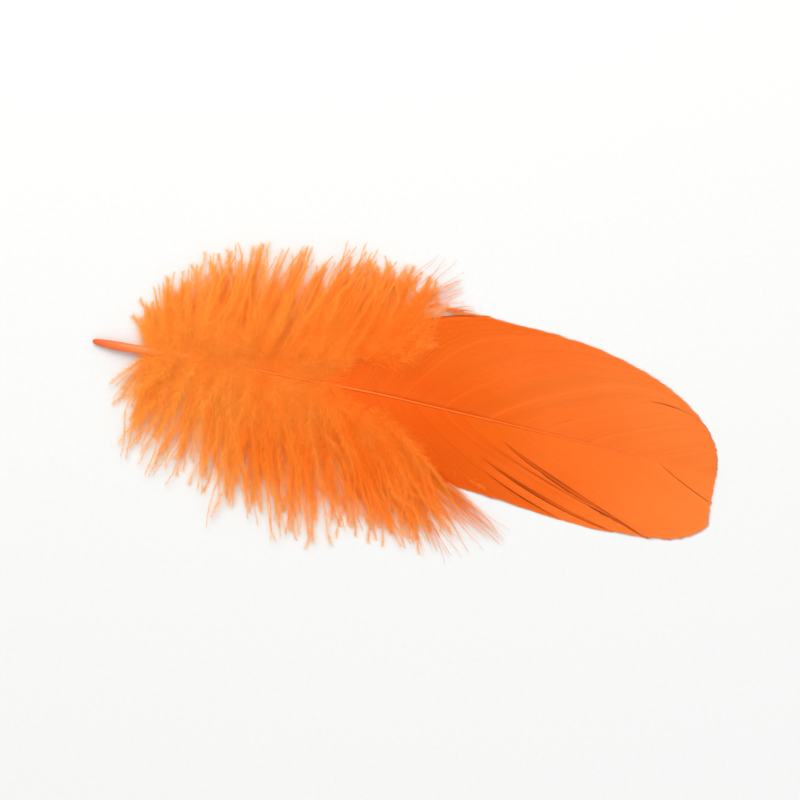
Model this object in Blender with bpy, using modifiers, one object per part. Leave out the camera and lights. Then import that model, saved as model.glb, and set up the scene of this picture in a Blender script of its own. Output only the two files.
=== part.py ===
"""A dyed goose feather that lies on a table, built as it grew: a shaft, two webs and two tufts of down.

Metres, +Z up. The feather lies along X with the quill end at -X and the blunt tip at +X. The wide web and the
shorter down are on the +Y side, the narrow web and the longer down on the -Y side. The table is z = 0, and the
origin is on it, under the middle of the feather's box. Every barb leaves the shaft at an angle that falls
along its length, so the webs and the down are laid out as fans of barbs.
"""

import math

import bmesh
import bpy
from mathutils import Vector

MM = 0.001

# The shaft, in millimetres along the feather from its quill end
LENGTH = 160.0          # quill end to the end of the shaft
BARE_QUILL = 15.0       # quill with no down on it
WEB_START = 70.0        # where the down ends and the closed web starts
SHAFT_END = 157.0       # where the shaft is too fine to tell from the barbs
QUILL_RADIUS = 1.15
RACHIS_RADIUS = 0.42    # halfway along the down
TIP_RADIUS = 0.2
QUILL_REST = 0.66       # height of the quill's centre where its rounded end lies on the table
ARCH = 4.2              # how far the middle of the shaft stands off the table
SHAFT_BOW = [(0, -3.1), (40, -0.9), (80, 0.2), (120, 0.3), (160, 0.0)]   # the shaft's sideways bend

# The webs: a superellipse in plan, from its widest place to the tip
UPPER_WEB = {"side": 1, "widest_at": 105.0, "end": 160.0, "half_width": 25.5, "fullness": 2.1, "flare": -0.02}
LOWER_WEB = {"side": -1, "widest_at": 125.0, "end": 161.8, "half_width": 20.0, "fullness": 4.0, "flare": 0.07}
WEB_THICKNESS = 0.5
WEB_DROOP = 1.8         # 1 is a straight slope from shaft to margin, higher is more domed
CLEFT_ROOTS = [93.0, 105.0]   # places on the shaft whose barbs have parted from their neighbours
CLEFT_FROM = 0.2        # the part of a barb next to the shaft that still holds together

# The down: how far its barbs reach from the shaft, and its height beside the shaft, by their place on it
UPPER_DOWN = {"side": 1, "reach": [(15, 12), (25, 28), (48, 36), (70, 29)]}
LOWER_DOWN = {"side": -1, "reach": [(15, 14), (26, 33), (52, 43), (70, 36)]}
DOWN_CROWN = [(15, 2.6), (32, 6.8), (56, 6.4), (70, 4.8)]
DOWN_EDGE = 1.2         # height at the tips of the down
DOWN_FALL = 1.3         # 1 is a straight slope from crown to edge, higher is rounder

# Angle between a barb and the shaft, in degrees, by the barb's place on the shaft: at its root and at its tip
UPPER_ROOT_ANGLE = [(15, 118), (28, 98), (50, 86), (70, 80), (86, 58), (110, 44), (160, 26)]
UPPER_TIP_ANGLE = [(15, 112), (28, 92), (50, 80), (70, 74), (86, 34), (110, 22), (160, 20)]
LOWER_ROOT_ANGLE = [(15, 114), (28, 94), (50, 72), (71, 51), (89, 45), (120, 38), (160, 28)]
LOWER_TIP_ANGLE = [(15, 108), (28, 88), (50, 64), (71, 48), (89, 18), (120, 17), (160, 20)]
BEND_LENGTH = 6.0       # a barb turns from its root angle to its tip angle over about this length

GAP = 0.35              # room between touching pieces
STEP = 0.5              # step along a barb
WEB_BARBS, WEB_CELLS = 48, 10
DOWN_BARBS, DOWN_CELLS = 22, 9


def along(stops, place):
    """The value at a place between stops, easing from each stop to the next."""
    if place <= stops[0][0]:
        return stops[0][1]
    for (start, low), (end, high) in zip(stops, stops[1:]):
        if place <= end:
            share = (place - start) / (end - start)
            return low + (high - low) * share * share * (3 - 2 * share)
    return stops[-1][1]


def shaft_radius(x):
    """The quill keeps its width, then the rachis tapers all the way to its end."""
    return along([(0, QUILL_RADIUS * 0.72), (6, QUILL_RADIUS), (BARE_QUILL + 6, QUILL_RADIUS * 0.92),
                  (56, RACHIS_RADIUS), (SHAFT_END, TIP_RADIUS)], x)


def shaft_height(x):
    """Height of the shaft's centre line: an arch that comes down to the table at both ends."""
    share = min(x / LENGTH, 1.0)
    ends = QUILL_REST * (1 - share) + WEB_THICKNESS * share
    return ends + ARCH * 4 * share * (1 - share)


def bow(x):
    """Sideways place of the shaft."""
    return along(SHAFT_BOW, x)


def web_half_width(web, x):
    """Distance from the shaft to the margin of a web."""
    if x <= web["widest_at"]:
        return web["half_width"] - web["flare"] * (web["widest_at"] - x)
    share = min((x - web["widest_at"]) / (web["end"] - web["widest_at"]), 1.0)
    return web["half_width"] * (1 - share ** web["fullness"]) ** (1 / web["fullness"])


def barb(side, root, inside):
    """Points (x, distance from the shaft) along one barb, from its root for as long as they stay inside."""
    root_angle, tip_angle = ((UPPER_ROOT_ANGLE, UPPER_TIP_ANGLE) if side > 0
                             else (LOWER_ROOT_ANGLE, LOWER_TIP_ANGLE))
    first, last = along(root_angle, root), along(tip_angle, root)
    x, away, run = root, shaft_radius(root) + GAP, 0.0
    points = [(x, away)]
    while inside(x, away, run) or len(points) < 3:
        angle = math.radians(last + (first - last) * math.exp(-run / BEND_LENGTH))
        x += STEP * math.cos(angle)
        away += STEP * math.sin(angle)
        run += STEP
        points.append((x, away))
    return points


def read_along(points, share):
    """The point at a share of the way along evenly stepped points."""
    place = share * (len(points) - 1)
    before = min(int(place), len(points) - 2)
    part = place - before
    (x0, a0), (x1, a1) = points[before], points[before + 1]
    return x0 + (x1 - x0) * part, a0 + (a1 - a0) * part


def fan(bm, barbs, cells, side, height):
    """Lays a grid over a fan of barbs: one row of points for each barb, from its root to its tip."""
    bmesh.ops.create_grid(bm, x_segments=len(barbs) - 1, y_segments=cells, size=0.5)
    for vert in bm.verts:
        row = round((vert.co.x + 0.5) * (len(barbs) - 1))
        share = vert.co.y + 0.5
        x, away = read_along(barbs[row], share)
        vert.co = Vector((x, bow(x) + side * away, height(x, away, share, row))) * MM


def make_piece(name, bm, collection, material):
    """Turns a bmesh into a named object with its material."""
    bmesh.ops.recalc_face_normals(bm, faces=bm.faces)
    mesh = bpy.data.meshes.new(name)
    bm.to_mesh(mesh)
    bm.free()
    mesh.shade_smooth()
    mesh.materials.append(material)
    piece = bpy.data.objects.new(name, mesh)
    collection.objects.link(piece)
    return piece


def make_web(name, web, collection, material):
    """A web: a thin domed sheet of barbs, open along its clefts, whose margin comes down to the table."""
    side = web["side"]
    roots = [WEB_START + GAP + (SHAFT_END - WEB_START) * row / (WEB_BARBS - 1) for row in range(WEB_BARBS)]
    barbs = [barb(side, root, lambda x, away, run: away < web_half_width(web, x) and x < web["end"])
             for root in roots]

    def height(x, away, share, row):
        level = WEB_THICKNESS / 2
        across = min(away / max(web_half_width(web, x), away, 0.001), 1.0)
        return level + (shaft_height(x) - level) * (1 - across ** WEB_DROOP)

    bm = bmesh.new()
    fan(bm, barbs, WEB_CELLS, side, height)
    if side < 0:
        open_clefts(bm, roots)
    piece = make_piece(name, bm, collection, material)
    solid = piece.modifiers.new("thickness", "SOLIDIFY")
    solid.thickness = WEB_THICKNESS * MM
    solid.offset = 0
    return piece


def open_clefts(bm, roots):
    """Takes out the narrow strip of web between each pair of barbs that have parted."""
    bm.faces.ensure_lookup_table()
    rows = len(roots) - 1
    parted = {min(range(rows), key=lambda row: abs(roots[row] - place)) for place in CLEFT_ROOTS}
    strips = [face for index, face in enumerate(bm.faces)
              if index % rows in parted and index // rows >= CLEFT_FROM * WEB_CELLS]
    bmesh.ops.delete(bm, geom=strips, context="FACES")


def make_down(name, down, collection, material):
    """A tuft of down: a soft low mound with a flat underside, out to the tips of the downy barbs."""
    side = down["side"]
    length = WEB_START - GAP - BARE_QUILL
    roots = [BARE_QUILL + length * row / (DOWN_BARBS - 1) for row in range(DOWN_BARBS)]
    barbs = [barb(side, root, lambda x, away, run, root=root: run < along(down["reach"], root))
             for root in roots]

    def height(x, away, share, row):
        return DOWN_EDGE + (along(DOWN_CROWN, roots[row]) - DOWN_EDGE) * (1 - share ** DOWN_FALL)

    bm = bmesh.new()
    fan(bm, barbs, DOWN_CELLS, side, height)
    under = bmesh.ops.extrude_face_region(bm, geom=bm.faces[:])
    for item in under["geom"]:
        if isinstance(item, bmesh.types.BMVert):
            item.co.z = 0.0
    return make_piece(name, bm, collection, material)


def make_shaft(collection, material):
    """The quill and the rachis: one tapering rod with closed, rounded ends."""
    curve = bpy.data.curves.new("shaft", "CURVE")
    curve.dimensions = "3D"
    curve.bevel_depth = MM
    curve.bevel_resolution = 4
    curve.use_fill_caps = True
    stations = [0.0, 0.35, 1.0, 2.2] + [4.0 + (SHAFT_END - 4.0) * step / 44 for step in range(45)]
    rounding = {0.0: 0.35, 0.35: 0.62, 1.0: 0.82, 2.2: 0.95}
    spline = curve.splines.new("POLY")
    spline.points.add(len(stations) - 1)
    for point, x in zip(spline.points, stations):
        point.co = (x * MM, bow(x) * MM, shaft_height(x) * MM, 1.0)
        point.radius = shaft_radius(x) * rounding.get(x, 1.0)
    curve.materials.append(material)
    piece = bpy.data.objects.new("shaft", curve)
    collection.objects.link(piece)
    return piece


def make_material(name, colour, roughness):
    material = bpy.data.materials.new(name)
    material.use_nodes = True
    shader = material.node_tree.nodes["Principled BSDF"]
    shader.inputs["Base Color"].default_value = (*colour, 1.0)
    shader.inputs["Roughness"].default_value = roughness
    shader.inputs["Metallic"].default_value = 0.0
    return material


def centre_on_origin(pieces):
    """Puts every piece under one empty and moves that, so the origin is under the middle of the feather."""
    bpy.context.view_layer.update()
    depsgraph = bpy.context.evaluated_depsgraph_get()
    corners = []
    for piece in pieces:
        mesh = bpy.data.meshes.new_from_object(piece.evaluated_get(depsgraph))
        corners += [vert.co.copy() for vert in mesh.vertices]
        bpy.data.meshes.remove(mesh)
    low = Vector(min(corner[axis] for corner in corners) for axis in range(3))
    high = Vector(max(corner[axis] for corner in corners) for axis in range(3))
    holder = bpy.data.objects.new("feather_origin", None)
    pieces[0].users_collection[0].objects.link(holder)
    holder.location = (-(low.x + high.x) / 2, -(low.y + high.y) / 2, -low.z)
    for piece in pieces:
        piece.parent = holder


def main():
    for old in list(bpy.data.objects):
        bpy.data.objects.remove(old, do_unlink=True)
    collection = bpy.data.collections.new("goose_feather")
    bpy.context.scene.collection.children.link(collection)
    horn = make_material("dyed quill horn", (0.90, 0.33, 0.11), 0.38)
    web = make_material("dyed web", (0.93, 0.17, 0.02), 0.62)
    web_low = make_material("dyed web, narrow side", (0.91, 0.15, 0.02), 0.62)
    down = make_material("dyed down", (0.96, 0.24, 0.03), 0.9)
    down_low = make_material("dyed down, long side", (0.95, 0.21, 0.03), 0.9)
    pieces = [
        make_shaft(collection, horn),
        make_web("vane_upper", UPPER_WEB, collection, web),
        make_web("vane_lower", LOWER_WEB, collection, web_low),
        make_down("down_upper", UPPER_DOWN, collection, down),
        make_down("down_lower", LOWER_DOWN, collection, down_low),
    ]
    centre_on_origin(pieces)


main()
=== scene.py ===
"""The looks of a dyed goose feather that lies on a pale table.

Lengths are in millimetres until a point is put in the frame, which is in metres. A place on the feather is
given as the distance along it from the quill end, and the distance away from the shaft on the upper side (1)
or the lower side (-1). Every barb is laid from its root on the shaft, hooked to its neighbours in the web or
loose in the down, and each piece of the feather is the skin over its barbs.
"""

import math

import bpy
import numpy as np
from mathutils import Matrix, Vector


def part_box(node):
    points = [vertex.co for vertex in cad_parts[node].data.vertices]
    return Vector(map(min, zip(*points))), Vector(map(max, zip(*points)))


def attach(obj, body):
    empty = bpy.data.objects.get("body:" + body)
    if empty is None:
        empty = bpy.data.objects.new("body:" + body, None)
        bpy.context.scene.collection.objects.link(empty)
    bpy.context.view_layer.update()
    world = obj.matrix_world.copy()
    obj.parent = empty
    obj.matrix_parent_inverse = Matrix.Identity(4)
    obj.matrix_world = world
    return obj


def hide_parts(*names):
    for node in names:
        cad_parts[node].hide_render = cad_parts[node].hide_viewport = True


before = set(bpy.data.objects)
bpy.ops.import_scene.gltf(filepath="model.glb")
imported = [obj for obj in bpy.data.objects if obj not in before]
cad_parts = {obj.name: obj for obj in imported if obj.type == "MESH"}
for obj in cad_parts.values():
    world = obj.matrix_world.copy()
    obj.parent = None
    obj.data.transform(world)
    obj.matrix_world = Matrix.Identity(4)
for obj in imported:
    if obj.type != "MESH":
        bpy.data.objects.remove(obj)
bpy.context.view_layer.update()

MM = 0.001
UPPER, LOWER = 1, -1
SIDES = {"upper": UPPER, "lower": LOWER}
chance = np.random.default_rng(20)

# The shaft
LENGTH = 160.0
BARE_QUILL = 15.0
QUILL_REST, WEB_LEVEL, ARCH = 0.66, 0.5, 4.2
SHAFT_BOW = [(0, -3.1), (40, -0.9), (80, 0.2), (120, 0.3), (160, 0.0)]
SHAFT_RADIUS = [(0, 0.86), (6, 1.15), (21, 1.06), (48, 0.4), (92, 0.22), (159.4, 0.08)]

# The webs
WEB = {
    UPPER: {"widest_at": 105.0, "end": 160.4, "half_width": 25.5, "fullness": 2.1, "flare": -0.02},
    LOWER: {"widest_at": 125.0, "end": 163.0, "half_width": 20.0, "fullness": 4.0, "flare": 0.07},
}
WEB_DROOP = 1.8
MARGIN_HEIGHT = 0.18
TIP, TIP_HOLLOW = 160.3, 0.007      # the blunt tip, a little hollow beside the end of the shaft
ROOT_ANGLE = {
    UPPER: [(15, 118), (28, 98), (50, 86), (70, 80), (86, 58), (110, 44), (154, 28), (159.5, 4)],
    LOWER: [(15, 114), (28, 94), (50, 72), (71, 51), (89, 45), (120, 38), (154, 29), (159.5, 4)],
}
TIP_ANGLE = {
    UPPER: [(15, 112), (28, 92), (50, 80), (70, 74), (86, 34), (110, 22), (154, 20), (159.5, 2)],
    LOWER: [(15, 108), (28, 88), (50, 64), (71, 48), (89, 18), (96, 18), (100, 19.6), (104, 20.5), (154, 20),
            (159.5, 2)],
}
BEND_LENGTH = 6.0       # how far along a barb it turns from its root angle to its tip angle
# How much a barb turns to run along the margin as it nears it
FOLLOW_MARGIN = {UPPER: [(15, 0.8), (160, 0.8)],
                 LOWER: [(15, 0.45), (97, 0.45), (100, 0.0), (116, 0.1), (140, 0.45), (160, 0.45)]}
STEP = 0.2              # a barb is laid in steps of this length
LONGEST_BARB = 90.0
BARB_PITCH = 0.36       # goose web barbs sit about three to a millimetre
LAP = 1.3               # a barb's ribbon is this much wider than its pitch, so that edges lap over
FAN = (71.0, 94.0)      # where the barbs fan out, so that they are set closer to keep the web even
FIRST_IN_WEB, LAST_IN_WEB = 60.0, 156.0
TIP_BARBS = np.linspace(156.2, 159.3, 16)
WEB_SHARES = np.linspace(0, 1, 34) ** 1.12      # places along a web barb, closer together near its root

# Places where the web has parted: the root of the barb at its edge, the shares of that barb where it opens
# and closes, its width and its depth
SLID_UNDER = (99.6, 0.16, 1.0, 1.35, 0.28)      # the barbs before this parting have slid under its edge
PARTINGS = {
    UPPER: [(108.5, 0.66, 1.0, 0.2, 0.14), (114.5, 0.06, 0.22, 0.06, 0.06)],
    LOWER: [(82.6, 0.5, 1.0, 0.3, 0.1), (85.2, 0.33, 1.0, 0.95, 0.2), (93.0, 0.2, 0.75, 0.2, 0.1), SLID_UNDER,
            (145.0, 0.02, 1.0, 0.3, 0.14)],
}
HAIRLINE_ROOTS = np.arange(77, 152, 12.5)
GIVE = 2.6              # the barbs within about this distance before a parting give way from it

# The down
LAST_LOOSE = 72.0       # the last barb on the shaft that ends in down
REACH = {
    UPPER: [(15, 12), (25, 28), (48, 36), (66, 35), (78, 33)],
    LOWER: [(15, 14), (26, 33), (52, 43), (66, 42), (83, 45)],
}
DOWN_CROWN = [(15, 2.6), (32, 5.6), (56, 5.8), (72, 5.0), (90, 4.4)]
# The share of a barb that is still hooked into the web, where the down turns to web
CLOSED_SHARE = {UPPER: [(58, 0.0), (66, 0.35), (74, 0.7)],
                LOWER: [(58, 0.0), (66, 0.24), (74, 0.5)]}
# Barbs that have come loose from the margin of the web next to the down: how many, where along the shaft they
# leave the margin, and their direction and length for each such place
FRINGE = {
    UPPER: {"barbs": 34, "leave": (72, 90), "angle": [(72, 62), (80, 40), (90, 16)],
            "length": [(72, 17), (90, 6)]},
    LOWER: {"barbs": 100, "leave": (78, 98), "angle": [(78, 58), (85, 48), (93, 25), (98, 17)],
            "length": [(78, 27), (93, 26), (98, 9)]},
}
# Each side has two layers of down: a soft bed, and longer plumes that lie on it in pointed locks.
# layer: place in the thickness of the down; length: of the barbs, as a share of the down's reach; spread: how
# far barbs stray from their neighbours' direction, degrees; lean: of the barbules from the barb at its root
# and near its tip, degrees; reach and wide: of the barbules, mm; locks: from this many barbs in a lock to
# fewer than that many; pull: the share of the way that their tips are drawn together
DOWN = {
    "bed": {"layer": (0.0, 0.6), "barbs": 210, "barbules": 160000, "length": (0.6, 1.0), "spread": 10.0,
            "lean": (76, 42), "reach": 5.0, "wide": 0.018, "locks": (1, 2), "pull": (0.0, 0.1)},
    "plume": {"layer": (0.5, 1.0), "barbs": 190, "barbules": 150000, "length": (0.62, 1.1), "spread": 12.0,
              "lean": (68, 20), "reach": 4.0, "wide": 0.014, "locks": (1, 5), "pull": (0.3, 0.85)},
}
DOWN_SHARES = np.linspace(0, 1, 21)

TABLE_WIDTH = 12.0      # metres, so wide that its edge stays out of sight


def along(stops, place):
    """The values at places between stops, easing from each stop to the next."""
    places, values = np.array(stops, float).T
    place = np.asarray(place, float)
    before = np.clip(np.searchsorted(places, place, side="right") - 1, 0, len(places) - 2)
    share = np.clip((place - places[before]) / (places[before + 1] - places[before]), 0, 1)
    return values[before] + (values[before + 1] - values[before]) * share ** 2 * (3 - 2 * share)


def ease(low, high, value):
    """0 below low, 1 above high, and a smooth rise between them."""
    share = np.clip((value - low) / (high - low), 0, 1)
    return share * share * (3 - 2 * share)


def bow(x):
    return along(SHAFT_BOW, x)


def shaft_radius(x):
    return along(SHAFT_RADIUS, x)


def shaft_height(x):
    share = np.clip(np.asarray(x) / LENGTH, 0, 1)
    return QUILL_REST * (1 - share) + WEB_LEVEL * share + ARCH * 4 * share * (1 - share)


def web_half_width(side, x):
    web = WEB[side]
    share = np.clip((x - web["widest_at"]) / (web["end"] - web["widest_at"]), 0, 1)
    before = np.minimum(x - web["widest_at"], 0)
    round_end = (1 - share ** web["fullness"]) ** (1 / web["fullness"])
    return (web["half_width"] + web["flare"] * before) * round_end


# The quill end of the frame's shaft tells where the feather's own measures start.
_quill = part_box("shaft")[0]
_stations = np.linspace(0, 60, 241)
QUILL_END = np.array([_quill.x / MM, _quill.y / MM - (bow(_stations) - shaft_radius(_stations)).min()])


def put(side, x, away, height):
    """Points in the frame, in metres, from places on the feather in millimetres."""
    return np.stack([QUILL_END[0] + x, QUILL_END[1] + bow(x) + side * away, height], -1) * MM


def smooth_noise(count, spacing, spread):
    """A row of numbers, one for each barb, that drift together over about spacing barbs."""
    knots = chance.normal(0, 1, int(count / spacing) + 3)
    place = np.arange(count) / spacing
    before = place.astype(int)
    share = place - before
    share = share * share * (3 - 2 * share)
    return spread * (knots[before] * (1 - share) + knots[before + 1] * share)


def grow_barbs(side, roots, length, wander=None, in_web=False, start=None, angles=None):
    """Lays barbs from their roots, straying by wander degrees. Returns x and away at each step, and how many
    steps each barb has."""
    first, last = angles or (along(ROOT_ANGLE[side], roots), along(TIP_ANGLE[side], roots))
    steps = int(np.max(length) / STEP) + 2
    x, away = np.empty((2, len(roots), steps))
    x[:, 0], away[:, 0] = roots, shaft_radius(roots) * 0.5 if start is None else start
    ends = np.minimum((length / STEP).astype(int), steps - 1)
    for step in range(1, steps):
        run = (step - 1) * STEP
        angle = last + (first - last) * math.exp(-run / BEND_LENGTH)
        if wander is not None:
            angle = angle + wander(run)
        here_x, here_away = x[:, step - 1], away[:, step - 1]
        if in_web:
            half = web_half_width(side, here_x)
            slope = web_half_width(side, here_x + 0.5) - web_half_width(side, here_x - 0.5)
            near = ease(0.45, 0.98, here_away / np.maximum(half, 0.01)) * along(FOLLOW_MARGIN[side], roots)
            angle = angle * (1 - near) + np.degrees(np.arctan(slope)) * near
            outside = (here_away >= half) | (here_x >= TIP + TIP_HOLLOW * here_away ** 2)
            ends = np.where(outside & (ends > step - 1), max(step - 1, 2), ends)
        x[:, step] = here_x + STEP * np.cos(np.radians(angle))
        away[:, step] = here_away + STEP * np.sin(np.radians(angle))
    return x, away, ends


def evenly(rows, ends, shares):
    """Reads each barb's row at shares of its own length."""
    place = np.atleast_2d(shares) * ends[:, None]
    before = np.minimum(place.astype(int), np.maximum(ends[:, None] - 1, 0))
    part = place - before
    low = np.take_along_axis(rows, before, 1)
    high = np.take_along_axis(rows, before + 1, 1)
    return low + (high - low) * part


def unit(vectors):
    return vectors / np.maximum(np.linalg.norm(vectors, axis=-1, keepdims=True), 1e-12)


def skin_mesh(name, points, faces, layers, material, smooth_until=None):
    """One mesh object from points in metres, arrays of faces of one size each, and a number for each point in
    each layer. Faces are smooth, or only the first smooth_until of them."""
    mesh = bpy.data.meshes.new(name)
    corners = np.concatenate([face.ravel() for face in faces]).astype(np.int32)
    sizes = np.concatenate([np.full(len(face), face.shape[1]) for face in faces])
    starts = np.concatenate([[0], np.cumsum(sizes)[:-1]]).astype(np.int32)
    mesh.vertices.add(len(points))
    mesh.vertices.foreach_set("co", points.astype(np.float32).ravel())
    mesh.loops.add(len(corners))
    mesh.loops.foreach_set("vertex_index", corners)
    mesh.polygons.add(len(starts))
    mesh.polygons.foreach_set("loop_start", starts)
    mesh.polygons.foreach_set("use_smooth", np.arange(len(starts)) < (smooth_until or len(starts)))
    mesh.update(calc_edges=True)
    for layer, values in layers.items():
        attribute = mesh.attributes.new(layer, "FLOAT", "POINT")
        attribute.data.foreach_set("value", values.astype(np.float32).ravel())
    lay_flat_map(mesh, points, corners)
    mesh.materials.append(material)
    piece = bpy.data.objects.new(name, mesh)
    bpy.context.scene.collection.objects.link(piece)
    return piece


def lay_flat_map(mesh, points, corners):
    """A map of the feather seen from above, leaned over a little so that upright faces have some width."""
    flat = points[:, :2] + points[:, 2:] * 0.35
    low, high = flat.min(0), flat.max(0)
    flat = 0.01 + 0.98 * (flat - low) / (high - low).max()
    layer = mesh.uv_layers.new(name="OFBake")
    layer.data.foreach_set("uv", flat[corners].astype(np.float32).ravel())


def ring_faces(strands, rings, sides):
    """Faces over strands of rings that are listed one after another, with both ends closed."""
    first = np.arange(strands)[:, None] * rings * sides
    ring = (first + np.arange(rings - 1) * sides)[..., None]
    near = np.arange(sides)
    far = (near + 1) % sides
    quads = np.stack([ring + near, ring + far, ring + sides + far, ring + sides + near], -1).reshape(-1, 4)
    return [quads, np.concatenate([first + near[::-1], first + (rings - 1) * sides + near])]


# ---------------------------------------------------------------- materials

def linear(code):
    """A colour in linear light from its sRGB hex code."""
    parts = [int(code[i:i + 2], 16) / 255 for i in (1, 3, 5)]
    return (*[p / 12.92 if p <= 0.04045 else ((p + 0.055) / 1.055) ** 2.4 for p in parts], 1.0)


def add_node(tree, kind, feeds=None, **settings):
    """Adds a node with its settings. feeds gives each socket a value, or the output that it is linked to."""
    node = tree.nodes.new(kind)
    for setting, value in settings.items():
        setattr(node, setting, value)
    for socket, value in (feeds or {}).items():
        if isinstance(value, bpy.types.NodeSocket):
            tree.links.new(value, node.inputs[socket])
        else:
            node.inputs[socket].default_value = value
    return node


def set_stops(ramp, stops):
    while len(ramp.color_ramp.elements) < len(stops):
        ramp.color_ramp.elements.new(0.5)
    for element, (position, code) in zip(ramp.color_ramp.elements, stops):
        element.position, element.color = position, linear(code)


def new_material(name):
    material = bpy.data.materials.new(name)
    material.use_nodes = True
    material.node_tree.nodes.clear()
    return material, material.node_tree


def let_light_through(tree, solid, colour, share):
    """Lets a share of the light through a finish, and makes that the surface."""
    through = add_node(tree, "ShaderNodeBsdfTranslucent", {"Color": colour})
    mixed = add_node(tree, "ShaderNodeMixShader", {0: share, 1: solid.outputs[0], 2: through.outputs[0]})
    add_node(tree, "ShaderNodeOutputMaterial", {"Surface": mixed.outputs[0]})


def dyed_web_keratin():
    """Web: thin horny barbs (keratin) hooked edge to edge and soaked in acid dye. It shines softly along the
    barbs, is deepest in colour next to the down, partly by the dye and partly by painted shade, and lets some
    light through, which warms its colour."""
    material, tree = new_material("dyed_web_keratin")
    place = add_node(tree, "ShaderNodeTexCoord").outputs["Object"]
    parts = add_node(tree, "ShaderNodeSeparateXYZ", {0: place})
    tone, share, crease_shade = [add_node(tree, "ShaderNodeAttribute", attribute_name=layer).outputs["Fac"]
                           for layer in ("tone", "share", "crease_shade")]
    # Deepest next to the down, paling to the tip partly by dye and partly as painted sheen; upper web paler.
    along_feather = add_node(tree, "ShaderNodeMapRange", {0: parts.outputs["X"], 1: -0.02, 2: 0.08})
    cloud = add_node(tree, "ShaderNodeTexNoise", {"Vector": place, "Scale": 45.0, "Detail": 3.0})
    dye_and_sheen_place = add_node(tree, "ShaderNodeMath", {0: cloud.outputs["Fac"], 1: 0.3, 2: -0.15},
                            operation="MULTIPLY_ADD")
    dye_and_sheen_place = add_node(tree, "ShaderNodeMath", {0: dye_and_sheen_place.outputs[0], 1: along_feather.outputs[0]},
                            operation="ADD")
    upper = add_node(tree, "ShaderNodeMapRange", {0: parts.outputs["Y"], 1: 0.003, 2: 0.015, 3: 0.0, 4: 0.16})
    dye_and_sheen_place = add_node(tree, "ShaderNodeMath", {0: dye_and_sheen_place.outputs[0], 1: upper.outputs[0]},
                            operation="ADD")
    ground_colour = add_node(tree, "ShaderNodeValToRGB", {0: dye_and_sheen_place.outputs[0]})
    set_stops(ground_colour, [(0.0, "#f96c1a"), (0.28, "#f0620f"), (0.45, "#f36a14"), (0.7, "#f8772a"),
                    (1.0, "#fa8438")])
    # Painted shade: the lower web next to the down lies low in a dip, so it is mixed toward a darker orange.
    lower = add_node(tree, "ShaderNodeMapRange", {0: parts.outputs["Y"], 1: 0.004, 2: -0.014})
    near_down = add_node(tree, "ShaderNodeMapRange", {0: along_feather.outputs[0], 1: 0.68, 2: 0.34})
    dip_shade = add_node(tree, "ShaderNodeMath", {0: lower.outputs[0], 1: near_down.outputs[0]},
                      operation="MULTIPLY")
    dip_shade = add_node(tree, "ShaderNodeMath", {0: dip_shade.outputs[0], 1: 0.7}, operation="MULTIPLY")
    ground_colour = add_node(tree, "ShaderNodeMix", {"Factor": dip_shade.outputs[0], "A": ground_colour.outputs["Color"],
                                           "B": linear("#e6580c")}, data_type="RGBA")
    # Each barb takes the dye a little differently, and barbs beside a parting carry a painted highlight in
    # their tone.
    barb_tone = add_node(tree, "ShaderNodeMapRange", {0: tone, 1: 0.0, 2: 1.0, 3: 0.92, 4: 1.05})
    barb_colour = add_node(tree, "ShaderNodeVectorMath", {0: ground_colour.outputs["Result"],
                                                          "Scale": barb_tone.outputs[0]}, operation="SCALE")
    paler_dye_and_highlight = add_node(tree, "ShaderNodeMapRange", {0: tone, 1: 0.65, 2: 1.0, 3: 0.0, 4: 0.45})
    colour = add_node(tree, "ShaderNodeMix", {"Factor": paler_dye_and_highlight.outputs[0], "A": barb_colour.outputs[0],
                                              "B": linear("#ff8c44")}, data_type="RGBA")
    # Painted shade: places at the edge of a parting, and the strips under partings, are mixed toward a dark
    # orange, since little light finds its way into a crease.
    colour = add_node(tree, "ShaderNodeMix", {"Factor": crease_shade, "A": colour.outputs["Result"],
                                              "B": linear("#cc5010")}, data_type="RGBA")
    # Painted light: the margin is thinner and lets more light through, so it is painted as a paler rim.
    margin = add_node(tree, "ShaderNodeMapRange", {0: share, 1: 0.95, 2: 0.99, 3: 0.0, 4: 0.6})
    colour = add_node(tree, "ShaderNodeMix", {"Factor": margin.outputs[0], "A": colour.outputs["Result"],
                                              "B": linear("#ff9c54")}, data_type="RGBA")
    # Barbules stand 0.03 mm apart in a goose web; they are drawn 0.2 mm apart, as fine as shows.
    barbules = add_node(tree, "ShaderNodeTexNoise", {"Vector": place, "Scale": 5000.0, "Detail": 2.0})
    bump = add_node(tree, "ShaderNodeBump", {"Height": barbules.outputs["Fac"], "Strength": 0.12,
                                             "Distance": 0.0001})
    roughness = add_node(tree, "ShaderNodeMapRange", {0: share, 1: 0.0, 2: 1.0, 3: 0.46, 4: 0.6})
    keratin = add_node(tree, "ShaderNodeBsdfPrincipled", {
        "Base Color": colour.outputs["Result"], "Roughness": roughness.outputs[0], "IOR": 1.55,
        "Specular IOR Level": 0.06, "Sheen Weight": 0.1, "Sheen Roughness": 0.45,
        "Sheen Tint": linear("#ff8c3c"), "Normal": bump.outputs["Normal"]})
    let_light_through(tree, keratin, colour.outputs["Result"], 0.22)
    return material


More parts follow.
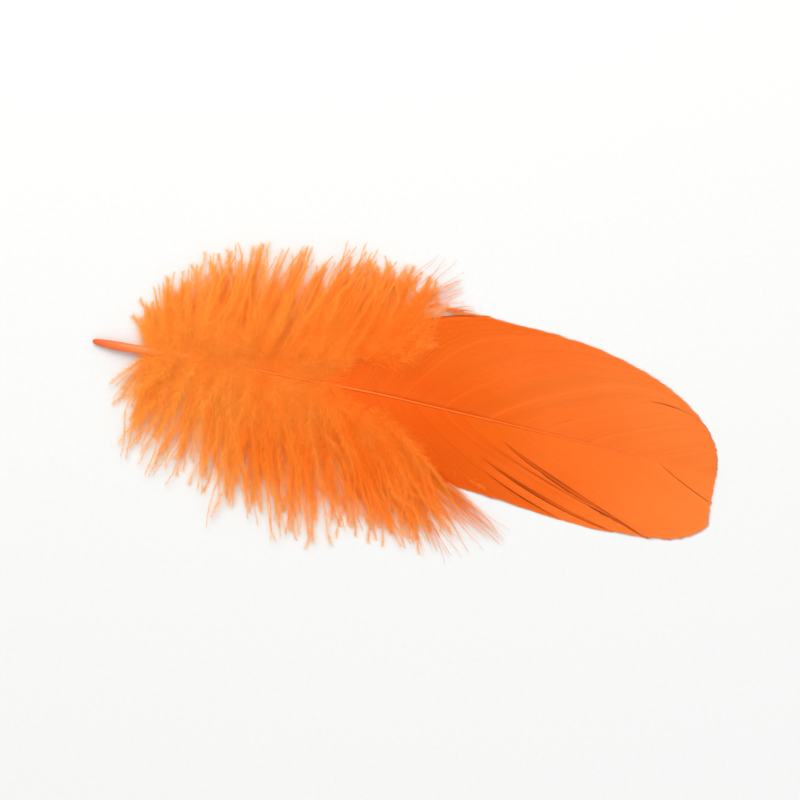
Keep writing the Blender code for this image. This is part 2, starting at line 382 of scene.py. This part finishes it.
def dyed_down_keratin():
    """Down: hair-thin loose barbs (keratin) in the same dye. They scatter light from all sides, so they look
    paler and yellower than the web, dull, and partly see-through where they thin out."""
    material, tree = new_material("dyed_down_keratin")
    place = add_node(tree, "ShaderNodeTexCoord").outputs["Object"]
    tone, share = [add_node(tree, "ShaderNodeAttribute", attribute_name=layer).outputs["Fac"]
                   for layer in ("tone", "share")]
    cloud = add_node(tree, "ShaderNodeTexNoise", {"Vector": place, "Scale": 90.0, "Detail": 2.0})
    mixed_tone = add_node(tree, "ShaderNodeMath", {0: tone, 1: 0.6, 2: cloud.outputs["Fac"]},
                          operation="MULTIPLY_ADD")
    # The dye took least at the quill end and deepest where the down turns to web.
    parts = add_node(tree, "ShaderNodeSeparateXYZ", {0: place})
    toward_quill = add_node(tree, "ShaderNodeMapRange", {0: parts.outputs["X"], 1: 0.005, 2: -0.06,
                                                         3: -0.3, 4: 0.65})
    paler = add_node(tree, "ShaderNodeMapRange", {0: mixed_tone.outputs[0], 1: 0.4, 2: 1.2})
    paler = add_node(tree, "ShaderNodeMath", {0: paler.outputs[0], 1: toward_quill.outputs[0]},
                     operation="ADD", use_clamp=True)
    ground_colour = add_node(tree, "ShaderNodeMix", {"Factor": paler.outputs[0], "A": linear("#ff9824"),
                                           "B": linear("#ffba50")}, data_type="RGBA")
    # Barbs thin out towards their tips and hold less dye there.
    thin = add_node(tree, "ShaderNodeMapRange", {0: share, 1: 0.55, 2: 1.0, 3: 0.0, 4: 0.6})
    colour = add_node(tree, "ShaderNodeMix", {"Factor": thin.outputs[0], "A": ground_colour.outputs["Result"],
                                              "B": linear("#ffc060")}, data_type="RGBA")
    keratin = add_node(tree, "ShaderNodeBsdfPrincipled", {
        "Base Color": colour.outputs["Result"], "Roughness": 0.75, "IOR": 1.55, "Specular IOR Level": 0.02,
        "Sheen Weight": 0.05, "Sheen Roughness": 0.6, "Sheen Tint": linear("#ffa03c")})
    let_light_through(tree, keratin, colour.outputs["Result"], 0.49)
    return material


def dyed_quill_horn():
    """Quill and shaft: smooth solid horn (keratin), grown in fine lengthwise fibres and dyed. The thick quill
    is waxy and lets light in, so it looks paler than the web, with a clean narrow highlight."""
    material, tree = new_material("dyed_quill_horn")
    place = add_node(tree, "ShaderNodeTexCoord").outputs["Object"]
    share = add_node(tree, "ShaderNodeAttribute", attribute_name="share").outputs["Fac"]
    # Fibres about 0.15 mm apart run the length of the quill.
    fibre_place = add_node(tree, "ShaderNodeMapping", {"Vector": place, "Scale": (60.0, 6600.0, 6600.0)})
    fibres = add_node(tree, "ShaderNodeTexNoise", {"Vector": fibre_place.outputs[0], "Scale": 1.0,
                                                   "Detail": 2.0})
    blotch = add_node(tree, "ShaderNodeTexNoise", {"Vector": place, "Scale": 260.0, "Detail": 3.0})
    ramp = add_node(tree, "ShaderNodeValToRGB", {0: share})
    set_stops(ramp, [(0.0, "#e65a20"), (0.02, "#ee6c30"), (0.07, "#f4803f"), (0.16, "#f8883e"),
                     (0.3, "#f87c1e"), (0.6, "#f6701c"), (1.0, "#fa7a2c")])
    streak = add_node(tree, "ShaderNodeMath", {0: fibres.outputs["Fac"], 1: blotch.outputs["Fac"]},
                      operation="ADD")
    streak_tone = add_node(tree, "ShaderNodeMapRange", {0: streak.outputs[0], 1: 0.6, 2: 1.4,
                                                        3: 0.88, 4: 1.1})
    colour = add_node(tree, "ShaderNodeVectorMath", {0: ramp.outputs["Color"],
                                                     "Scale": streak_tone.outputs[0]}, operation="SCALE")
    bump = add_node(tree, "ShaderNodeBump", {"Height": fibres.outputs["Fac"], "Strength": 0.25,
                                             "Distance": 0.00008})
    horn = add_node(tree, "ShaderNodeBsdfPrincipled", {
        "Base Color": colour.outputs[0], "Roughness": 0.36, "IOR": 1.55, "Specular IOR Level": 0.25,
        "Coat Weight": 0.05, "Coat Roughness": 0.25, "Normal": bump.outputs["Normal"]})
    let_light_through(tree, horn, colour.outputs[0], 0.18)
    return material


def table_card():
    """Table: matt white card. Pale and plain, so it throws soft light back up under the feather."""
    material, tree = new_material("table_card")
    place = add_node(tree, "ShaderNodeTexCoord").outputs["Object"]
    grain = add_node(tree, "ShaderNodeTexNoise", {"Vector": place, "Scale": 900.0, "Detail": 2.0})
    tone = add_node(tree, "ShaderNodeMix", {"Factor": grain.outputs["Fac"], "A": linear("#cdcdcd"),
                                            "B": linear("#d2d2d2")}, data_type="RGBA")
    card = add_node(tree, "ShaderNodeBsdfPrincipled", {
        "Base Color": tone.outputs["Result"], "Roughness": 0.85, "Specular IOR Level": 0.2})
    add_node(tree, "ShaderNodeOutputMaterial", {"Surface": card.outputs[0]})
    return material


# ---------------------------------------------------------------- the shaft

def build_shaft(material):
    """Quill and shaft as one tapering rod: rounded end with the small pit where it left the skin, round
    quill, then a shaft that is flatter on its sides and grooved along its underside."""
    sides = 28
    pit = [(0.9, 0.0), (0.55, 0.1), (0.25, 0.14), (0.1, 0.17), (0.0, 0.22), (-0.02, 0.3), (0.03, 0.42),
           (0.2, 0.58), (0.5, 0.7), (1.0, 0.82), (1.8, 0.92), (2.8, 0.97)]
    rest = np.concatenate([np.linspace(4, 70, 150), np.linspace(70.8, 157.5, 110), [158.4, 159.2, 159.6]])
    x = np.concatenate([[place for place, _ in pit], rest])
    radius = shaft_radius(x) * np.concatenate([[part for _, part in pit], np.ones(len(rest))])
    radius[-2:] *= (0.7, 0.25)
    # The quill swells and narrows a little where it grew unevenly.
    radius *= 1 + 0.02 * np.sin(x * 1.1) * ease(2, 8, x) + 0.012 * np.sin(x * 2.7 + 1)
    turn = np.linspace(0, 2 * np.pi, sides, endpoint=False)
    across, up = np.cos(turn)[None, :], np.sin(turn)[None, :]
    grown = ease(22, 48, x)[:, None]
    below = np.exp(-((turn - 1.5 * np.pi) / 0.42) ** 2)[None, :]
    shape = 1 - grown * 0.3 * below
    wide = 1 - 0.12 * grown
    y = bow(x)[:, None] + radius[:, None] * across * shape * wide
    z = shaft_height(x)[:, None] + radius[:, None] * up * shape * (1 + 0.1 * grown)
    places = np.repeat(x[:, None], sides, 1)
    points = np.stack([QUILL_END[0] + places, QUILL_END[1] + y, np.maximum(z, 0.01)], -1).reshape(-1, 3) * MM
    layers = {"share": places / LENGTH}
    return skin_mesh("quill_and_shaft", points, ring_faces(1, len(x), sides), layers, material)


# ---------------------------------------------------------------- the webs

def web_height(side, x, away):
    """The web is domed across: highest at the shaft, with its margin down on the table."""
    across = np.clip(away / np.maximum(web_half_width(side, x), np.maximum(away, 0.01)), 0, 1)
    return MARGIN_HEIGHT + (shaft_height(x) - MARGIN_HEIGHT) * (1 - across ** WEB_DROOP)


def web_roots():
    """Where the barbs of a web leave the shaft, down to the short ones at its very end."""
    roots = np.concatenate([np.arange(FIRST_IN_WEB, FAN[0], BARB_PITCH), np.arange(*FAN, BARB_PITCH / 2),
                            np.arange(FAN[1], LAST_IN_WEB, BARB_PITCH)])
    return np.concatenate([roots + chance.normal(0, 0.02, len(roots)), TIP_BARBS])


def lay_web_barbs(side, roots):
    """The course of each barb of the web, to the margin or, next to the down, to where it comes unhooked."""
    x, away, ends = grow_barbs(side, roots, np.full(len(roots), LONGEST_BARB), in_web=True)
    hooked = (along(REACH[side], roots) / STEP * along(CLOSED_SHARE[side], roots)).astype(int)
    ends = np.where(roots < LAST_LOOSE, np.minimum(ends, hooked), ends)
    if side == LOWER:
        ends = slide_under(roots, x, away, ends)
    ends = np.maximum((ends * (1 + chance.normal(0, 0.0015, len(roots)))).astype(int), 2)
    ends = np.minimum(ends, x.shape[1] - 2)
    return evenly(x, ends, WEB_SHARES), evenly(away, ends, WEB_SHARES)


def slide_under(roots, x, away, ends):
    """Ends the barbs that have slid under the edge of a parting where they reach it."""
    line_x, line_away, openness = parting_line(LOWER, SLID_UNDER)
    root, _, _, width, _ = SLID_UNDER
    before = root - roots[:, None]
    # They stop a little short of the far side of the opening, and beside the shaft they stay hooked.
    room = width * np.interp(x, line_x, openness) * (1 - np.exp(-np.abs(before) / GIVE)) * 0.9
    under = (before > 0) & (x > root + 4) & (away < np.interp(x, line_x, line_away) + room)
    return np.where(under.any(1), np.minimum(ends, np.argmax(under, 1)), ends)


def open_at(share, opens, closes):
    """How far open a parting is at a share of the barb beside it, from 0 to 1. Both its ends are pointed."""
    return np.sin(np.pi * np.clip((share - opens) / (closes - opens), 0, 1)) ** 0.6


def parting_line(side, parting):
    """The barb at the edge of a parting, and how far open the parting is along it, from 0 to 1."""
    root, opens, closes, _, _ = parting
    x, away, ends = grow_barbs(side, np.array([root]), np.array([LONGEST_BARB]), in_web=True)
    count = ends[0] + 1
    return x[0, :count], away[0, :count], open_at(np.linspace(0, 1, count), opens, closes)


def partings_of(side):
    """The wide partings, and hairline ones where a few hooks between barbs have let go."""
    wide = [parting[0] for parting in PARTINGS[side]]
    fine = [(root, chance.uniform(0.35, 0.75), 1.01, chance.uniform(0.01, 0.03), chance.uniform(0.01, 0.03))
            for root in HAIRLINE_ROOTS + chance.uniform(0, 6, len(HAIRLINE_ROOTS))]
    return PARTINGS[side] + [parting for parting in fine if min(abs(parting[0] - root) for root in wide) > 2]


def square_to(x, away):
    """The direction square to each barb at each place, towards the quill end."""
    forward, outward = np.gradient(x, axis=-1), np.gradient(away, axis=-1)
    size = np.hypot(forward, outward)
    return -outward / size, forward / size


def open_partings(side, partings, roots, x, away, height, back):
    """Lets the barbs before each parting give way from it and sink. Returns where the barbs then lie, the
    painted shade at the edge of a parting, and the painted highlight where the barbs turn up to the light."""
    crease_shade, painted_highlight = np.zeros_like(x), np.zeros_like(x)
    for parting in partings:
        root, _, _, width, depth = parting
        line_x, _, openness = parting_line(side, parting)
        spindle = np.interp(x, line_x, openness)
        gap = root - roots[:, None]
        before = np.where(gap >= 0, np.exp(-np.abs(gap) / GIVE), 0) * spindle
        beyond = np.where(gap < 0, np.exp(-np.abs(gap) / 1.2), 0) * spindle
        x, away = x + back[0] * width * before, away + back[1] * width * before
        height = height - depth * before + 0.15 * depth * beyond
        # Painted shade on the barbs right at the edge of a parting.
        crease_shade = np.maximum(crease_shade, np.exp(-np.abs(gap) / 0.35) * (gap >= 0) * spindle * depth * 0.4)
        # Painted highlight: the barbs before a parting turn up to the light, so they are made paler.
        painted_highlight = np.maximum(painted_highlight, 0.4 * before * min(width, 1.0))
    return x, away, height, crease_shade, painted_highlight


def ribbon_points(centres, shares):
    """Four points round each place on each barb: the two edges, the rib on top and the keel below it."""
    run = unit(np.gradient(centres, axis=1))
    apart = np.gradient(centres, axis=0)
    apart = apart - (apart * run).sum(-1, keepdims=True) * run
    spread = np.clip(np.linalg.norm(apart, axis=-1, keepdims=True), 0.05, 1.6)
    across = unit(apart)
    up = np.cross(across, run)
    up = unit(np.where(up[..., 2:] < 0, -up, up))
    point = np.sqrt(np.clip(1 - ((shares - 0.96) / 0.04).clip(0, 1) ** 2, 0.0006, 1))[None, :, None]
    half = spread * 0.5 * LAP * point
    rib = (0.04 - 0.02 * shares)[None, :, None] * (0.35 + 0.65 * point)
    return np.stack([centres - across * half - up * 0.02, centres - across * half * 0.15 + up * rib,
                     centres + across * half + up * 0.012, centres - up * (rib + 0.03)], 2)


def tucked_strips(side):
    """The edge of web that lies under each wide parting, set low and painted dark as shade: its points, four
    round each place like a barb's, and how much painted shade each place takes."""
    strips, strip_shades = [], []
    for root, opens, closes, width, depth in PARTINGS[side]:
        x, away, ends = grow_barbs(side, np.array([root - 0.15]), np.array([LONGEST_BARB]), in_web=True)
        x, away = evenly(x, ends, WEB_SHARES)[0], evenly(away, ends, WEB_SHARES)[0]
        spindle = open_at(WEB_SHARES, opens, closes)
        back_x, back_away = square_to(x, away)
        # A strip spans the opening and goes a little way under the web on both sides.
        half, shift = 0.12 + 0.75 * width * spindle, 0.35 * width * spindle
        rows = []
        for offset in (shift + half, shift, shift - half):
            place_x, place_away = x + back_x * offset, away + back_away * offset
            height = np.maximum(web_height(side, place_x, place_away) - 0.13 - 0.6 * depth * spindle, 0.06)
            rows.append(put(side, place_x, place_away, height) / MM)
        outer, middle, inner = rows
        up = np.array([0.0, 0.0, 0.03])
        strips.append(np.stack([outer, middle + up, inner, middle - up], 1))
        # Painted shade on the strip, most where the parting is wide and open.
        strip_shades.append(min(width / 0.6, 0.75) * spindle ** 0.5)
    return np.array(strips), np.array(strip_shades)


def build_web(name, side, material):
    """One web: every barb is a thin ribbon with a raised rib, and its edges lap over its neighbours'."""
    roots = web_roots()
    x, away = lay_web_barbs(side, roots)
    # Barbs gather in loose bundles that lie a little higher or lower than the next, and the web waves gently.
    out = WEB_SHARES[None, :] ** 1.4
    bundles = smooth_noise(len(roots), 3.2, 0.008) + smooth_noise(len(roots), 11, 0.018)
    height = web_height(side, x, away) + out * bundles[:, None]
    height = height + 0.22 * np.sin(x / 5.2 + away / 7) * np.sin(away / 4.6 + 1.3) * ease(2, 9, away)
    back = square_to(x, away)
    sway = smooth_noise(len(roots), 4.0, 0.10)[:, None] * out
    partings = partings_of(side)
    x, away, height, crease_shade, painted_highlight = open_partings(side, partings, roots, x, away, height, back)
    centres = put(side, x + back[0] * sway, away + back[1] * sway, np.maximum(height, 0.12)) / MM
    tone = 0.5 + smooth_noise(len(roots), 1.5, 0.1) + smooth_noise(len(roots), 9, 0.1)
    # The tone also carries the painted highlight of the barbs beside a parting.
    tone = np.clip(tone[:, None] + painted_highlight, 0, 1)
    # Ribbons lap over their neighbours but not across a parting.
    edges = [0] + sorted(np.searchsorted(roots, parting[0]) for parting in partings) + [len(roots)]
    ribbons = [ribbon_points(centres[start:stop], WEB_SHARES) for start, stop in zip(edges, edges[1:])]
    strips, strip_shade = tucked_strips(side)
    strands = np.concatenate(ribbons + [strips])
    strands[..., 2] = np.maximum(strands[..., 2], 0.01)
    tone = np.concatenate([tone, np.full(strip_shade.shape, 0.4)])
    crease_shade = np.concatenate([crease_shade, strip_shade])
    layers = {"tone": np.repeat(tone, 4), "share": np.repeat(np.tile(WEB_SHARES, len(strands)), 4),
              "crease_shade": np.repeat(crease_shade, 4)}
    faces = ring_faces(len(strands), len(WEB_SHARES), 4)
    if side == UPPER:
        faces = [face[:, ::-1] for face in faces]
    return skin_mesh(name, strands.reshape(-1, 3) * MM, faces, layers, material)


# ---------------------------------------------------------------- the down

def root_down(side, kind):
    """Where the barbs of a layer of down start along the shaft, their length, where they start away from it,
    their direction at the root and at the tip, and which of them come from the margin of the web."""
    made = DOWN[kind]
    draws = chance.uniform(0, 1, made["barbs"])
    roots = np.sort(np.interp(draws, [0, 0.6, 1], [BARE_QUILL, 60, LAST_LOOSE]))
    length = along(REACH[side], roots) * chance.uniform(*made["length"], len(roots))
    angles = along(ROOT_ANGLE[side], roots), along(TIP_ANGLE[side], roots)
    start = shaft_radius(roots) * 0.4
    if kind == "plume":
        # Some of the first plumes lie across the quill and hide it.
        crosses = chance.uniform(0, 1, len(roots)) < 0.6 * ease(17, 22, roots) * (1 - ease(36, 44, roots))
        start = np.where(crosses, -chance.uniform(1.0, 5.0, len(roots)), start)
        length = length - np.minimum(start, 0)
        loose = loose_from_web(side)
        roots, length, start = [np.concatenate(pair) for pair in zip((roots, length, start), loose)]
        angles = [np.concatenate([angle, loose[3]]) for angle in angles]
    return roots, length, start, angles, np.arange(len(roots)) >= made["barbs"]


def loose_from_web(side):
    """Barbs that leave the margin of the web: where they start along the shaft, their length, where they
    start away from it, and their direction."""
    fringe = FRINGE[side]
    leave = np.sort(chance.uniform(*fringe["leave"], fringe["barbs"]))
    inside = chance.uniform(1.0, 6.0, len(leave))
    angle = along(fringe["angle"], leave) + chance.normal(0, 4, len(leave))
    turn = np.radians(angle)
    length = along(fringe["length"], leave) * chance.uniform(0.5, 1.0, len(leave)) + inside
    return leave - inside * np.cos(turn), length, web_half_width(side, leave) - inside * np.sin(turn), angle


def straying(swing, length, spread, calm):
    """How far each barb strays from its course, in degrees, at some distance from its root: it has a slant of
    its own and one that it shares with its neighbours, waves in and out, and curls at its tip."""
    phase = chance.uniform(0, 2 * np.pi, (3, len(length)))
    sweep = smooth_noise(len(length), 22, 7.0)

    def wander(run):
        wave = (8 * swing[0] * np.sin(run / 5.5 + phase[0]) + 7 * swing[1] * np.sin(run / 2.7 + phase[1])
                + 5 * swing[2] * np.sin(run / 1.3 + phase[2]))
        curl = 16 * swing[4] * (run / length).clip(0, 1) ** 3
        return sweep + (spread * swing[3] + wave * min(run / 6, 1.0) + curl) * calm

    return wander


def gather_locks(x, away, shares, made):
    """Draws the tips of neighbouring barbs together, so that the down falls in pointed locks."""
    start = 0
    while start < len(x):
        size = int(chance.integers(*made["locks"]))
        group = slice(start, min(start + size, len(x)))
        pull = chance.uniform(*made["pull"]) * ease(0.4, 1.0, shares)[None, :]
        for row in (x, away):
            row[group] += (row[group].mean(0, keepdims=True) - row[group]) * pull
        start += size


def down_height(side, root, x, away, layer, closed, shares):
    """Down stands up in a soft mound beside the shaft and thins out to the table; barbs that start inside the
    web leave it at its own height."""
    crown = along(DOWN_CROWN, root) * (0.25 + 1.0 * layer)
    lift = ease(0.0, 0.3, shares)
    mound = 0.35 + 1.6 * layer + (crown - 1) * (1 - shares ** 1.5)
    from_shaft = shaft_height(root) + (layer - 0.5) * shaft_radius(root)
    loose = from_shaft * (1 - lift) + mound * lift
    on_web = web_height(side, x, away) + 0.15 + 0.9 * layer * ease(0.2, 0.8, shares)
    return loose + (on_web - loose) * ease(0.05, 0.5, closed)


def set_barbules(centres, run, across, up, length, fluff, made):
    """Barbules as fine pointed blades of one face each, shorter toward the tip, leaning forward and outward.
    Returns the blades, the barb that each is on, and the share of that barb where it stands."""
    count = made["barbules"]
    weight = length * (0.3 + 0.7 * fluff)
    which = np.sort(chance.choice(len(centres), count, p=weight / weight.sum()))
    where = 0.985 * chance.uniform(0, 1, count) ** 1.15
    place = where * (centres.shape[1] - 1)
    before = np.minimum(place.astype(int), centres.shape[1] - 2)
    part = (place - before)[:, None]

    def read(rows):
        return rows[which, before] * (1 - part) + rows[which, before + 1] * part

    foot, forward, aside, above = read(centres), unit(read(run)), unit(read(across)), unit(read(up))
    lean = np.interp(where, [0, 0.75], made["lean"]) * chance.uniform(0.6, 1.3, count)
    lean = np.radians(lean * (0.4 + 0.6 * fluff[which]))[:, None]
    roll = chance.normal(0, 0.5, count)[:, None]
    hand = np.where(chance.uniform(0, 1, count) < 0.5, 1, -1)[:, None]
    aim = np.cos(lean) * forward + np.sin(lean) * (np.cos(roll) * hand * aside + np.sin(roll) * above)
    long = made["reach"] * (1 - 0.7 * where ** 1.5) * chance.uniform(0.45, 1.1, count) * fluff[which]
    broad = made["wide"] * chance.uniform(0.7, 1.2, count)[:, None]
    flat = unit(np.cross(aim, np.array([0.0, 0.0, 1.0])))
    tilt = chance.normal(0, 0.6, count)[:, None]
    edge = broad * (np.cos(tilt) * flat + np.sin(tilt) * np.cross(flat, aim))
    return np.stack([foot + edge, foot - edge, foot + aim * long[:, None]], 1), which, where


def build_down(name, side, kind, material):
    """A layer of down: loose wavy barbs, in locks or strewn, each set with fine barbules on both sides."""
    made = DOWN[kind]
    roots, length, start, angles, from_web = root_down(side, kind)
    calm = np.where(from_web, 0.35, 1.0)       # barbs of the web are stiffer, and lie straighter
    fluff = np.where(from_web, 0.28, 1.0)      # and their barbules are short
    swing = chance.normal(0, 1, (5, len(roots)))
    wander = straying(swing, length, made["spread"], calm)
    x, away, ends = grow_barbs(side, roots, length, wander, start=start, angles=angles)
    # Where the down turns to web, only the outer part of a barb is loose.
    open_from = np.where(from_web, 0, along(CLOSED_SHARE[side], roots) - 0.06).clip(0, 1)
    shares = open_from[:, None] + (1 - open_from[:, None]) * DOWN_SHARES[None, :]
    x, away = evenly(x, ends, shares), evenly(away, ends, shares)
    gather_locks(x, away, DOWN_SHARES, made)
    layer = chance.uniform(*made["layer"], len(roots))[:, None]
    on_web = np.where(from_web, 1.0, open_from)[:, None]
    height = down_height(side, roots[:, None], x, away, layer, on_web, shares)
    height = height + 0.4 * np.sin(DOWN_SHARES * 8 + 6 * swing[3][:, None]) * DOWN_SHARES
    over_quill = np.where(away < 1.4, shaft_height(x) + shaft_radius(x) + 0.25, 0)
    height = np.where(start[:, None] < 0, np.maximum(height, over_quill), height)
    centres = put(side, x, away, np.maximum(height, 0.15)) / MM
    run = unit(np.gradient(centres, axis=1))
    across = unit(np.cross(run, np.array([0.0, 0.0, 1.0])))
    up = np.cross(across, run)
    tone = np.clip(0.5 + chance.normal(0, 0.2, len(roots)), 0, 1)
    thick = 0.078 - 0.056 * shares
    turn = np.radians([90, 210, 330])[:, None]
    shafts = centres[:, :, None] + thick[..., None, None] * (np.cos(turn) * across[:, :, None]
                                                             + np.sin(turn) * up[:, :, None])
    blades, which, where = set_barbules(centres, run, across, up, length * (1 - open_from), fluff, made)
    points = np.concatenate([shafts.reshape(-1, 3), blades.reshape(-1, 3)])
    points[:, 2] = np.maximum(points[:, 2], 0.02)
    blade_tone = np.clip(tone[which] + chance.normal(0, 0.12, len(which)), 0, 1)
    blade_share = open_from[which] + (1 - open_from[which]) * where
    shaft_tone = np.clip(tone + 0.4, 0, 1)      # the barbs themselves are paler than their barbules
    shaft_tone = np.repeat(shaft_tone, len(DOWN_SHARES))
    layers = {"tone": np.repeat(np.concatenate([shaft_tone, blade_tone]), 3),
              "share": np.repeat(np.concatenate([shares.ravel(), blade_share]), 3)}
    blade_faces = np.arange(blades[..., 0].size).reshape(-1, 3) + shafts[..., 0].size
    round_faces, end_faces = ring_faces(len(roots), len(DOWN_SHARES), 3)
    return skin_mesh(name, points * MM, [round_faces, end_faces, blade_faces], layers, material,
                     smooth_until=len(round_faces))


# ---------------------------------------------------------------- the stage

def set_table(material):
    bpy.ops.mesh.primitive_plane_add(size=TABLE_WIDTH, location=(0, 0, 0))
    table = bpy.context.object
    table.name = "table_top"
    table.data.materials.append(material)


def soft_light(name, place, size, power, colour, aim=(0, 0, 0)):
    lamp = bpy.data.lights.new(name, "AREA")
    lamp.shape = "DISK"
    lamp.size = size
    lamp.energy = power
    lamp.color = linear(colour)[:3]
    light = bpy.data.objects.new(name, lamp)
    light.location = place
    light.rotation_euler = (Vector(aim) - Vector(place)).to_track_quat("-Z", "Y").to_euler()
    bpy.context.scene.collection.objects.link(light)


def light_studio():
    world = bpy.data.worlds.new("pale_room")
    bpy.context.scene.world = world
    world.use_nodes = True
    sky = world.node_tree.nodes["Background"]
    sky.inputs["Color"].default_value = linear("#f8fafa")
    sky.inputs["Strength"].default_value = 0.95
    soft_light("window", (-0.25, 0.55, 0.75), 0.8, 7.5, "#fffdf8")
    soft_light("fill", (0.5, -0.4, 0.7), 0.8, 1.5, "#fafcff")


def set_camera():
    """Looks down on the feather from almost straight above, with the feather a little askew in the view."""
    turn, tilt = math.radians(13.3), math.radians(3.5)
    distance = 0.278
    centre = Vector(((QUILL_END[0] + 78.8) * MM, (QUILL_END[1] + 0.1) * MM, 0.002))
    camera = bpy.data.objects.new("camera", bpy.data.cameras.new("camera"))
    camera.data.sensor_width = 36.0
    camera.data.lens = 50.0
    camera.data.clip_start = 0.01
    facing = Matrix.Rotation(turn, 4, "Z") @ Matrix.Rotation(tilt, 4, "X")
    camera.matrix_world = Matrix.Translation(centre) @ facing @ Matrix.Translation((0, 0, distance))
    bpy.context.scene.collection.objects.link(camera)
    bpy.context.scene.camera = camera


def join_frame(piece, node):
    """Gives a piece its place in the frame on the root body, and hides the node whose looks it takes over."""
    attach(piece, "root")
    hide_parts(node)


horn, web, down = dyed_quill_horn(), dyed_web_keratin(), dyed_down_keratin()
join_frame(build_shaft(horn), "shaft")
for word, side in SIDES.items():
    join_frame(build_web(f"web_{word}", side, web), f"vane_{word}")
for word, side in SIDES.items():
    for kind in DOWN:
        join_frame(build_down(f"down_{word}_{kind}", side, kind, down), f"down_{word}")

set_table(table_card())
light_studio()
set_camera()
bpy.context.scene.view_settings.view_transform = "Standard"
# Light is passed on from barb to barb many times before it leaves the down.
bpy.context.scene.cycles.diffuse_bounces = 8
